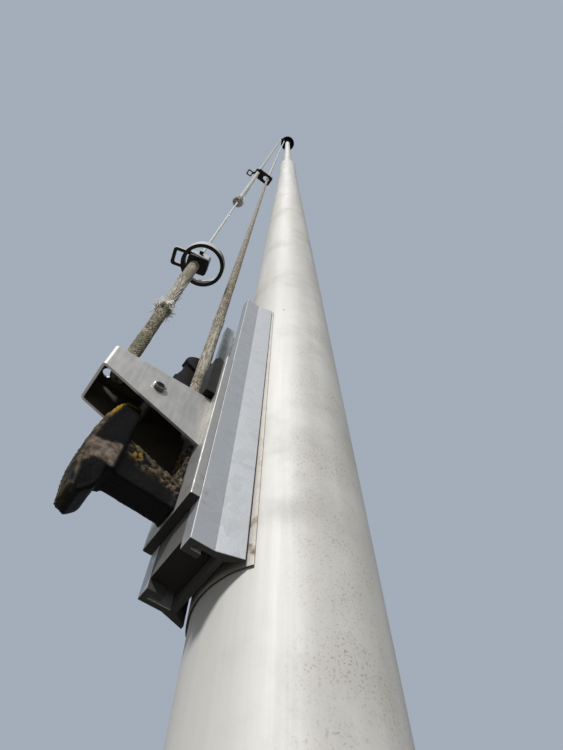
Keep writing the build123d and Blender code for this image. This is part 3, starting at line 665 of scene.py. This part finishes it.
def channel_grime_and_shade(face):
    """The rail's inside, its lower end and its back get painted shade and dirt, most of all low down."""
    centre = face.calc_center_median()
    out, height = rail_place(centre)
    inward = face.normal.dot(Vector((0, -channel_middle * mm, centre.z)) - centre) > 0
    inside = abs(centre.x) < channel_half * mm and inward
    behind = face.normal.y > 0.5
    if face.normal.z < -0.5:
        return 0.85 if abs(centre.x) < lip_half * mm or centre.x < 0 else 0.6
    return 0.9 - 0.8 * ease(height, 50.0, 130.0) if inside or behind else 0.0


# %% Rail, plates and plastic pieces
softened = (
    ("mounting_rail", "rail_channel", "galvanised", rail_finish, 0.35),
    ("front_plate", "rail_front_plate", "galvanised", plate_finish, 0.3),
    ("slot_bar", "rail_slot_bar", "galvanised", plate_finish, 0.3),
    ("backing_strip", "pole_backing_strip", "galvanised", strip_finish, 0.15),
    ("rope_guide", "rope_guide_block", "black_plastic", guide_finish, 0.5),
    ("lower_hook", "lower_hook_moulding", "black_plastic", hook_finish, 0.35),
    ("upper_hook", "upper_hook_moulding", "black_plastic", hook_finish, 0.35),
    ("truck_body", "truck_casting", "cap_black", cap_finish, 0.6),
    ("truck_sheave", "truck_wheel", "cap_black", cap_finish, 0.4),
    ("truck_pin", "truck_axle", "stainless", bolt_finish, 0.3),
    ("base_plate", "base_flange", "pole_aluminium", pole_finish, 1.5),
    ("base_collar", "base_socket", "pole_aluminium", pole_finish, 0.8),
)
# The channel, plate and bar get painted shade and dirt in their recesses, behind and at their lower ends.
grime_and_shade_by_node = {"mounting_rail": channel_grime_and_shade, "front_plate": plate_grime_and_shade, "slot_bar": bar_grime_and_shade}
for node, name, slot, finish, width in softened:
    bm = edged_copy(node, width)
    sharp = 40.0
    if node == "mounting_rail":
        sharp = 12.0  # its shallow knee stays a crisp line
        for height in range(10, 140, 10):
            cut(bm, (0, 0, rail_z + height * mm), (0, 0, 1))
    if node in grime_and_shade_by_node:
        add_grime_and_shade(bm, grime_and_shade_by_node[node])
    finish_piece(bm, name, finish, [node], sharp=sharp, flat_sides=True)

# %% [markdown]
# ## Hood
# The hood is a copy of the solid's folded sheet with the same softened edges. Each of its faces gets a
# value of painted shade and dirt: full inside the sheet, and a thin band along the lower edge outside.

# %% Hood
hood_back, hood_edge, hood_slope, band_top = 66.8, 71.4, 0.3475, 72.8


def hood_grime_and_shade(face):
    """How much painted shade and dirt a face of the hood gets."""
    centre = face.calc_center_median()
    out, height = rail_place(centre)
    inward = face.normal.dot(Vector((0, -0.095, rail_z + 0.095)) - centre) > 0
    if inward and abs(centre.x) < 0.0118 and out < 126.5:
        return 0.95
    lower_edge = hood_edge + (out - hood_back) * hood_slope
    return 0.8 * fade_out(height - lower_edge, 0.4, 1.6)


bm = edged_copy("hood", 0.25)
band_turn = atan2(hood_slope, 1.0)
cut(bm, (0, -hood_back * mm, rail_z + band_top * mm), (0, sin(band_turn), cos(band_turn)))
add_grime_and_shade(bm, hood_grime_and_shade)
finish_piece(bm, "hood_folded_sheet", hood_finish, ["hood"], sharp=40.0, flat_sides=True)

# %% Cross pin
pin_out, pin_height, pin_face_radius = 96.7, 100.0, 3.3


def pin_painted_shade(face):
    """Each head is painted near black inside its turned rim, as painted shade of a dark recess."""
    centre = face.calc_center_median()
    out, height = rail_place(centre)
    return 0.9 if hypot(out - pin_out, height - pin_height) < pin_face_radius else 0.0


bm = edged_copy("hood_pin", 0.2)
add_grime_and_shade(bm, pin_painted_shade)
finish_piece(bm, "hood_cross_pin", bolt_finish, ["hood_pin"], sharp=40.0)

# %% [markdown]
# ## Cleat
# A casting has no sharp edge anywhere, and its skin is never flat. The solid is remeshed into small
# even faces, smoothed a little, and then each vertex moves by noise. Three attributes are worked out
# from where a vertex is and which way it faces: wear, crust and gold. The crust also lifts the surface.

# %% Remesh the cleat
block = new_object("cleat_coarse", new_mesh("cleat_coarse", solid_copy("cleat")))
remesh = block.modifiers.new("even_faces", "REMESH")
remesh.mode = "VOXEL"
remesh.voxel_size = 0.75 * mm
casting = baked(block)
for step in range(3):
    bmesh.ops.smooth_vert(
        casting, verts=casting.verts, factor=0.5, use_axis_x=True, use_axis_y=True, use_axis_z=True,
    )
casting.normal_update()
print("cleat remeshed:", len(casting.faces), "faces")

# %% Weather the cleat
def cleat_wear(point, normal):
    """Bare metal on both cheeks of the crossbar's middle, where rope has rubbed."""
    out, height = rail_place(point)
    arch = 31.0 - 7.0 * ease(out, 107.5, 111.5)
    ceiling = 46.5 - 4.0 * ease(out, 102.5, 109.0)
    ragged = 2.2 * noise(point * 260.0)
    above = ease(height + ragged, arch - 1.0, arch + 1.2)
    band = above * fade_out(height + ragged, ceiling - 1.5, ceiling + 1.0)
    cheek = ease(out, 98.3, 99.6) * ease(abs(normal.x), 0.3, 0.7)
    return band * cheek * (1.0 if point.x > 0 else 0.5)


def cleat_crust(point, normal):
    """Moss and lichen on the stem's upper edge, the upper horn's outer edge and the back."""
    out, height = rail_place(point)
    stem_line = 56.0 - (100.0 - out) * 0.32
    reach = 9.5 + 4.0 * noise(point * 180.0)
    stem = fade_out(stem_line - height, reach - 3.0, reach + 1.5) * fade_out(out, 92.0, 98.0)
    stem *= ease(height, 24, 30)
    edge = ease(-normal.y + 0.35 * abs(normal.x) - 0.2, 0.25, 0.6)
    horn = edge * ease(height, 48.0, 66.0) * ease(out, 98.0, 103.0)
    tip = ease(height, 81.0, 85.0) * ease(normal.z, 0.1, 0.5)
    back = 0.8 * edge * ease(out, 97.0, 101.0) * ease(noise(point * 150.0), -0.35, 0.1)
    patchy = ease(noise(point * 520.0) + 0.2, 0.0, 0.35)
    return max(stem * patchy, horn * (0.55 + 0.45 * patchy), tip, back)


def cleat_gold(point):
    """Where the crust is yellow lichen: the upper horn's edge and a few spots on the stem."""
    out, height = rail_place(point)
    horn = ease(height, 58.0, 72.0) * fade_out(height, 84.0, 86.5) * ease(out, 99.0, 104.0)
    scatter = noise(point * 240.0 + Vector((3, 1, 7)))
    spots = ease(scatter, 0.28, 0.42) * fade_out(out, 92.0, 96.0)
    return max(horn, 0.8 * spots)


layers = {name: casting.verts.layers.float.new(name) for name in ("wear", "crust", "gold")}
for vert in casting.verts:
    point, normal = vert.co.copy(), vert.normal.copy()
    crust = cleat_crust(point, normal)
    vert[layers["wear"]] = cleat_wear(point, normal) * (1 - crust)
    vert[layers["crust"]] = crust
    vert[layers["gold"]] = cleat_gold(point)
    out, height = rail_place(point)
    lump = 0.35 * noise(point * 90.0) + 0.12 * noise(point * 420.0)
    back = ease(normal.y, 0.2, 0.8) * ease(out, 97.0, 100.0)
    lump += 1.5 * back * fade_out(height, 16.0, 26.0)
    growth = crust * (0.25 + 0.8 * abs(noise(point * 650.0)) + 0.4 * noise(point * 1300.0))
    vert.co += normal * (lump + growth) * mm
finish_piece(casting, "cleat_casting", cleat_finish, ["cleat"], sharp=75.0)

# %% [markdown]
# ## Braided rope
# The halyard is taut, so each length is straight. A circle is extruded ring by ring with spin, which can
# also just step along. Then every vertex moves out or in with the braid: two sets of strands cross, and
# where they cross one lies over the other. The same numbers are in the rope finish, so colour and shape
# agree. Rings lie close together near the camera and far apart high up, where no strand can be seen.

# %% Rope helpers
def braid_height(turn, along, strands):
    """Surface height of a braid, from 0 in the gaps to 1 on top of a strand."""
    right, left = strands * (turn + along), strands * (turn - along)
    return (sin(pi * (right % 1.0)) * sin(pi * (left % 1.0))) ** 0.6


def round_place(turn, along, reach=1.0):
    """Where to look up noise on a rope, so that it has no seam."""
    return Vector((reach * cos(2 * pi * turn), reach * sin(2 * pi * turn), along))


def straight_tube(radius, sides, stretches):
    """A bmesh tube up Z from 0, with rings at each stretch's own spacing: (length, spacing) in metres."""
    bm = bmesh.new()
    bmesh.ops.create_circle(bm, radius=radius, segments=sides)
    last = list(bm.verts) + list(bm.edges)
    for length, spacing in stretches:
        count = max(int(round(length / spacing)), 1)
        made = bmesh.ops.spin(bm, geom=last, axis=(0, 0, 1), dvec=(0, 0, length / count), steps=count)
        last = made["geom_last"]
    ends = [edge for edge in bm.edges if len(edge.link_faces) == 1]
    bmesh.ops.holes_fill(bm, edges=ends, sides=0)
    bmesh.ops.recalc_face_normals(bm, faces=bm.faces)
    return bm


def map_along(bm):
    """Give each face corner its turn round the tube and its length along it."""
    layer = bm.loops.layers.uv.new("along")
    for face in bm.faces:
        turns = [atan2(loop.vert.co.y, loop.vert.co.x) / (2 * pi) % 1.0 for loop in face.loops]
        seam = max(turns) - min(turns) > 0.5
        for loop, turn in zip(face.loops, turns):
            loop[layer].uv = (turn + (1.0 if seam and turn < 0.5 else 0.0), loop.vert.co.z)


def lay_between(bm, start, end):
    """Move a tube from the Z axis onto the line between two points."""
    line = end - start
    place = Matrix.Translation(start) @ line.to_track_quat("Z", "Y").to_matrix().to_4x4()
    bmesh.ops.transform(bm, matrix=place, verts=bm.verts)


def rope(name, start, end, radius, sides, stretches, finish, shape, stands_for=(), bare=None):
    """A rope between two points. shape(turn, along) gives the radius as a share of the plain radius,
    and bare(turn, along) says where its cover is gone."""
    bm = straight_tube(radius, sides, stretches)
    map_along(bm)
    layer = bm.verts.layers.float.new("bare")
    for vert in bm.verts:
        turn = atan2(vert.co.y, vert.co.x) / (2 * pi)
        vert[layer] = bare(turn, vert.co.z) if bare else 0.0
        if hypot(vert.co.x, vert.co.y) > radius / 2:
            vert.co.xy = vert.co.xy * shape(turn, vert.co.z)
    lay_between(bm, start, end)
    finish_piece(bm, name, finish, stands_for, sharp=180.0)


# %% The halyard's points
cord_foot_z, cord_head_z, knot_z, soft_foot_z, ring_z = 2048.5, 2486.0, 2497.0, 2508.15, 3068.0


def line_point(y, z):
    return Vector((0, y * mm, z * mm))


def at_height(foot, head, z):
    """The point of a straight line at a height in millimetres."""
    return foot.lerp(head, (z * mm - foot.z) / (head.z - foot.z))


def on_outer(z):
    return at_height(outer_foot, outer_head, z)


def on_inner(z):
    return at_height(inner_foot, ring_point, z)


outer_foot, outer_head = line_point(-116.5, 1784.03), line_point(-55.0, 5870.0)
inner_foot, inner_head = line_point(-72.5, 1787.56), line_point(-29.0, 5870.0)
ring_point = on_outer(ring_z) + Vector((0, 29.8 * mm, 0))
print("outer line from", tuple(outer_foot), "to", tuple(outer_head))

# %% Outer line below the lower hook
def height_from(foot, along):
    """Height in millimetres at a length along a line, which is all but upright."""
    return foot.z / mm + along / mm


def worn_bare(turn, along):
    """Between the collar and the knee the cover is gone, and in patches above."""
    height = height_from(outer_foot, along)
    ragged = 5.0 * noise(Vector((turn * 4.0, height * 0.1, 1.0)))
    torn = ease(height + ragged, 1897.0, 1904.0)
    return torn * (1 - 0.6 * ease(height + ragged, 1955.0, 1985.0))


def worn_shape(turn, along):
    """The worn rope: its cover is pushed down into a collar, and above that it swells and is loose."""
    height = height_from(outer_foot, along)
    folds = 1 + 0.5 * noise(Vector((turn * 5.0, height * 0.2, 4.0)))
    collar = 0.26 * fade_out(abs(height - 1898.0), 2.0, 8.0) * folds
    swell = 0.1 * ease(height, 1896.0, 1912.0) + 0.07 * ease(height, 1960.0, 1985.0)
    one_side = ease(noise(round_place(turn, 0.4)), -0.2, 0.3)
    knee = 0.12 * fade_out(abs(height - 1984.0), 3.0, 12.0) * one_side
    relief = 0.12 - 0.08 * worn_bare(turn, along)
    place = round_place(turn, height * 0.07)
    lumps = 0.06 * noise(place) + 0.04 * noise(place * 3.0)
    return 0.78 + collar + swell + knee + lumps + relief * braid_height(turn, along / pitch, strands)


rope(
    "halyard_outer_worn", outer_foot, on_outer(cord_foot_z), 5.0 * mm, 64, [(0.2645, 0.0007)], worn_finish,
    worn_shape, stands_for=["halyard_outer_lower"], bare=worn_bare,
)

# %% Thin cord between the lower hook and the knot
def cord_shape(turn, along):
    return 0.88 + 0.12 * braid_height(turn, along / cord_pitch, cord_strands)


rope(
    "halyard_thin_cord", on_outer(cord_foot_z), on_outer(cord_head_z), 1.5 * mm, 12,
    [(0.12, 0.0012), (0.3175, 0.005)], cord_finish, cord_shape, stands_for=["thin_cord"],
)

# %% Outer line above the knot
def fluffy_shape(turn, along):
    """A rope whose cover has gone soft: no clean strands, only an uneven surface."""
    furry = noise(round_place(turn, along * 120.0, 1.5))
    coarse = noise(Vector((turn, along * 30.0, 5.0)))
    return 0.82 + 0.08 * furry + 0.08 * coarse + 0.12 * fade_out(along, 0.0, 0.12)


rope(
    "halyard_outer_soft", on_outer(soft_foot_z), on_outer(ring_z), 4.7 * mm, 24, [(0.56, 0.002)], pale_finish,
    fluffy_shape, stands_for=["halyard_outer_middle"],
)

# %% The sound lengths of line
def plain_shape(turn, along):
    """High up no strand can be seen."""
    return 0.78


def inner_shape(turn, along):
    """The inner line: braided, a little thinner as it goes up, with a rubbed place near 1.94 m."""
    height = height_from(inner_foot, along)
    rubbed = 0.08 * fade_out(abs(height - 1940.0), 6.0, 16.0)
    thinner = -0.2 * ease(height, 1950.0, 2700.0)
    lumps = 0.05 * noise(round_place(turn, height * 0.05))
    relief = 0.1 * fade_out(height, 2100.0, 2180.0)
    return 0.9 + rubbed + thinner + lumps + relief * (braid_height(turn, along / pitch, strands) - 0.3)


def inner_bare(turn, along):
    """A long rubbed stripe where the cover is thin, most of it below 1.95 m, and a pale upper length."""
    height = height_from(inner_foot, along)
    stripe = ease(cos(2 * pi * (turn - height * 0.004)), -0.2, 0.7)
    rubbed = 0.9 * stripe * ease(height, 1822.0, 1860.0) * fade_out(height, 1945.0, 1960.0)
    return max(rubbed, 0.8 * ease(height, 2000.0, 2700.0))


high_spacing = [(0.4, 0.01), (2.402, 0.03)]
rope(
    "halyard_inner_low", inner_foot, ring_point, 4.3 * mm, 48, [(0.4, 0.0008), (0.3, 0.003), (0.5805, 0.006)],
    line_finish, inner_shape, stands_for=["halyard_inner_lower"], bare=inner_bare,
)
rope(
    "halyard_inner_high", ring_point, inner_head, 4.3 * mm, 16, high_spacing, pale_finish, plain_shape,
    stands_for=["halyard_inner_upper"],
)
rope(
    "halyard_outer_high", on_outer(ring_z), outer_head, 4.3 * mm, 16, high_spacing, pale_finish, plain_shape,
    stands_for=["halyard_outer_upper"],
)

# %% Turn over the sheave
axle, groove_radius = line_point(-42.0, 5870.0), 0.013
bm = bmesh.new()
bmesh.ops.create_circle(bm, radius=3.7 * mm, segments=24, matrix=Matrix.Translation(outer_head))
bmesh.ops.spin(
    bm, geom=list(bm.verts) + list(bm.edges), cent=axle, axis=(-1, 0, 0), angle=pi, steps=40,
)
bmesh.ops.recalc_face_normals(bm, faces=bm.faces)
layer = bm.loops.layers.uv.new("along")
for face in bm.faces:
    for loop in face.loops:
        spoke = loop.vert.co - axle
        swing = atan2(spoke.z, -spoke.y)
        turn = atan2(spoke.x, hypot(spoke.y, spoke.z) - groove_radius) / (2 * pi)
        loop[layer].uv = (turn, swing * groove_radius)
finish_piece(bm, "halyard_turn_rope", pale_finish, ["halyard_turn"], sharp=180.0)

# %% [markdown]
# ## Knots
# A knot is one rope on a closed path, so a NURBS curve with a round section makes it. The knot on the
# outer line is an overhand knot pulled tight. The two stopper knots sit under the hood's top.

# %% Knots
def knot_mesh(points, thickness, place):
    """A bmesh of a rope that follows control points in millimetres about a place in metres."""
    curve = bpy.data.curves.new("knot_path", "CURVE")
    curve.dimensions = "3D"
    curve.bevel_depth = thickness * mm
    curve.bevel_resolution = 5
    curve.resolution_u = 10
    curve.use_fill_caps = True
    spline = curve.splines.new("NURBS")
    spline.points.add(len(points) - 1)
    for point, (x, y, z) in zip(spline.points, points):
        point.co = (*(place + Vector((x, y, z)) * mm), 1.0)
    spline.order_u = 4
    spline.use_endpoint_u = True
    bm = baked(new_object("knot_path", curve))
    layer = bm.loops.layers.uv.new("along")
    for face in bm.faces:
        for loop in face.loops:
            offset = loop.vert.co - place
            loop[layer].uv = (atan2(offset.y, offset.x) / (2 * pi), offset.z)
    return bm


overhand = [
    (0, 0, 13), (0, 0.5, 10.5), (5.0, 4.0, 8.5), (8.5, -2.5, 5.5), (1.5, -8.0, 3.5), (-7.5, -4.0, 1.5),
    (-7.0, 5.0, -0.5), (1.0, 8.0, -1.0), (8.0, 3.5, -2.0), (6.5, -6.0, -4.0), (-3.0, -7.5, -6.5),
    (-7.5, 0.5, -7.5), (-2.0, 6.0, -8.5), (4.0, 2.5, -9.5), (0, 0.5, -11.5), (0, 0, -13),
]
finish_piece(
    knot_mesh(overhand, 2.7, on_outer(knot_z)), "halyard_overhand_knot", pale_finish,
    ["halyard_knot"], sharp=180.0,
)
tail = [(2.0, -3.0, -3.0), (7.0, -4.0, -6.0), (10.5, -1.0, -8.5), (12.0, 2.0, -12.0)]
finish_piece(knot_mesh(tail, 2.0, on_outer(knot_z)), "halyard_knot_tail", pale_finish, sharp=180.0)
stopper = [
    (0, 0, 2.6), (3.2, 0.4, 1.8), (1.2, -3.4, 0.9), (-3.3, -1.2, 0.0), (-1.4, 3.3, -0.6), (3.2, 1.8, -1.2),
    (2.0, -3.0, -1.6), (-3.0, -1.8, -1.4), (-1.6, 2.8, -0.4), (2.6, 0.8, 0.6),
]
for node, foot, shift in (("outer_end_knot", outer_foot, 0.0), ("inner_end_knot", inner_foot, -0.2)):
    middle = Vector((0, foot.y + shift * mm, foot.z - 3.65 * mm))
    bm = knot_mesh(stopper, 2.4, middle)
    finish_piece(bm, node.replace("end", "stopper"), line_finish, [node], sharp=180.0)

# %% [markdown]
# ## Frayed fibres
# Where the cover is broken, fibres stand out of the rope. One straight, tapered fibre is made once, and
# copies of it are bent, turned, sized and set round the rope with a seeded random draw.

# %% Fibres
bm = bmesh.new()
bmesh.ops.create_cone(bm, cap_ends=True, segments=3, radius1=1.0, radius2=0.45, depth=1.0)
bmesh.ops.translate(bm, verts=bm.verts, vec=(0, 0, 0.5))
for share in (0.25, 0.5, 0.75):
    cut(bm, (0, 0, share), (0, 0, 1))
fibre_mesh = new_mesh("one_fibre", bm)


def add_fibre(bm, root, direction, length, thickness, bend):
    """Add one fibre to a bmesh, from a root in a direction, bent sideways by a share of its length."""
    before = len(bm.verts)
    bm.from_mesh(fibre_mesh)
    bm.verts.ensure_lookup_table()
    added = bm.verts[before:]
    for vert in added:
        x, y, z = vert.co
        vert.co = Vector((x * thickness + bend * length * z * z, y * thickness, z * length))
    turned_to = direction.to_track_quat("Z", "X").to_matrix().to_4x4()
    bmesh.ops.transform(bm, matrix=Matrix.Translation(root) @ turned_to, verts=added)


def fibre_ring(
    name, point_at, low, high, radius, count, longest, thickness, seed, rise, wrap=0.0, sector=(0.0, 1.0),
):
    """Loose fibres round a rope between two heights, with sizes in millimetres. rise leans them up (+1)
    or down (-1) the rope, wrap lays them round it, and sector is the share of a turn that they grow on."""
    draw = Random(seed)
    bm = bmesh.new()
    for item in range(count):
        height = draw.uniform(low, high)
        turn = 2 * pi * draw.uniform(*sector)
        spoke = Vector((cos(turn), sin(turn), 0))
        tangent = Vector((-sin(turn), cos(turn), 0)) * wrap * draw.choice((-1, 1)) * draw.uniform(0.6, 1.4)
        slope = rise * draw.uniform(0.2, 1.3) + draw.uniform(-0.5, 0.5)
        stray = Vector((draw.uniform(-0.5, 0.5), draw.uniform(-0.5, 0.5), slope))
        root = point_at(height) + spoke * (radius * mm) * 0.85
        add_fibre(
            bm, root, (spoke + tangent + stray).normalized(), longest * mm * draw.uniform(0.35, 1.0),
            thickness * mm * draw.uniform(0.6, 1.0), draw.uniform(-0.6, 0.6),
        )
    finish_piece(bm, name, fray_finish, sharp=180.0)


fibre_ring("collar_yarns", on_outer, 1894, 1903, 5.2, 110, 7.0, 0.75, 3, 0.0, wrap=2.2)
fibre_ring("collar_frays", on_outer, 1893, 1903, 5.2, 45, 6.0, 0.4, 9, 0.2, wrap=0.8)
fibre_ring("cover_frays", on_outer, 1903, 1955, 4.4, 90, 9.0, 0.4, 4, 6.0)
fibre_ring("tuft_frays", on_outer, 1978, 1986, 4.6, 22, 5.0, 0.4, 5, 0.6, sector=(0.4, 0.8))
fibre_ring("inner_frays", on_inner, 1926, 1952, 4.0, 36, 4.5, 0.25, 6, 0.4)
fibre_ring("soft_rope_frays", on_outer, 2512, 3060, 4.2, 260, 3.5, 0.35, 7, 0.0)
fibre_ring("knot_frays", on_outer, 2482, 2494, 9.0, 46, 8.0, 0.6, 8, -0.6, wrap=0.8, sector=(-0.25, 0.2))

# %% [markdown]
# ## Anchor bolts
# Four studs with washers and hexagon nuts hold the base plate down. The photograph does not reach so
# low, so they are what such a plate usually has.

# %% Anchor bolts
washer, nut_width, stud = (32, 15.0, 15.2, 17.7), 24.0, (32, 8.0, 17.7, 38.0)
nut = (6, nut_width / 2 / cos(pi / 6), 17.7, 30.0)


def anchor(x, y):
    """A bmesh of one stud with its washer and nut, on the base plate."""
    bm = bmesh.new()
    for sides, radius, low, high in (washer, nut, stud):
        bmesh.ops.create_cone(
            bm, cap_ends=True, segments=sides, radius1=radius * mm, radius2=radius * mm,
            depth=(high - low) * mm, matrix=Matrix.Translation((x * mm, y * mm, (low + high) / 2 * mm)),
        )
    edges = [e for e in bm.edges if e.calc_face_angle(0) > radians(40)]
    bmesh.ops.bevel(
        bm, geom=edges, offset=0.5 * mm, affect="EDGES", segments=2,
        profile=0.5, material=-1, clamp_overlap=True,
    )
    return bm


for number, (x, y) in enumerate(((80, 80), (-80, 80), (-80, -80), (80, -80)), 1):
    finish_piece(anchor(x, y), f"anchor_bolt_{number}", rail_finish, sharp=40.0)

# %% [markdown]
# ## Studio
# The light is plain: one soft lamp to the front right, and a pale world that fills the shadows. Where
# the camera or a reflection sees past the pole, the world is a plain pale blue-grey.

# %% Lamp and world
def seen_directly(tree):
    """1 where the camera looks straight at something or sees it mirrored, 0 where it only gives light."""
    path = put(tree, "LightPath").outputs
    mirrored = larger(tree, path["Is Glossy Ray"], path["Is Transmission Ray"])
    return larger(tree, path["Is Camera Ray"], mirrored)


sun_data = bpy.data.lights.new("key_light", "SUN")
sun_data.energy = 2.8
sun_data.angle = radians(8)
new_object("key_light", sun_data).rotation_euler = (radians(50), 0, radians(44))

world = bpy.data.worlds.new("studio")
bpy.context.scene.world = world
world.use_nodes = True
tree = world.node_tree
seen = seen_directly(tree)
pale = blend(tree, seen, rgb(0.9, 0.95, 1.0), rgb(0.37, 0.42, 0.49))
fill(tree, tree.nodes["Background"], {"Color": pale, "Strength": ramp(tree, seen, 0.0, 1.0, 0.2, 1.0)})
print("lamp and world ready")

# %% Floor
bm = bmesh.new()
bmesh.ops.create_grid(bm, x_segments=1, y_segments=1, size=60.0)
bmesh.ops.translate(bm, verts=bm.verts, vec=(0, 0, -0.001))
floor = new_object("floor", new_mesh("floor", bm))
floor_finish, tree, shader = new_material("floor_paint", 0.8)
grey = blend(tree, seen_directly(tree), rgb(0.15, 0.15, 0.14), rgb(0.7, 0.71, 0.71))
fill(tree, shader, {"Base Color": grey})
floor.data.materials.append(floor_finish)
print("floor ready")
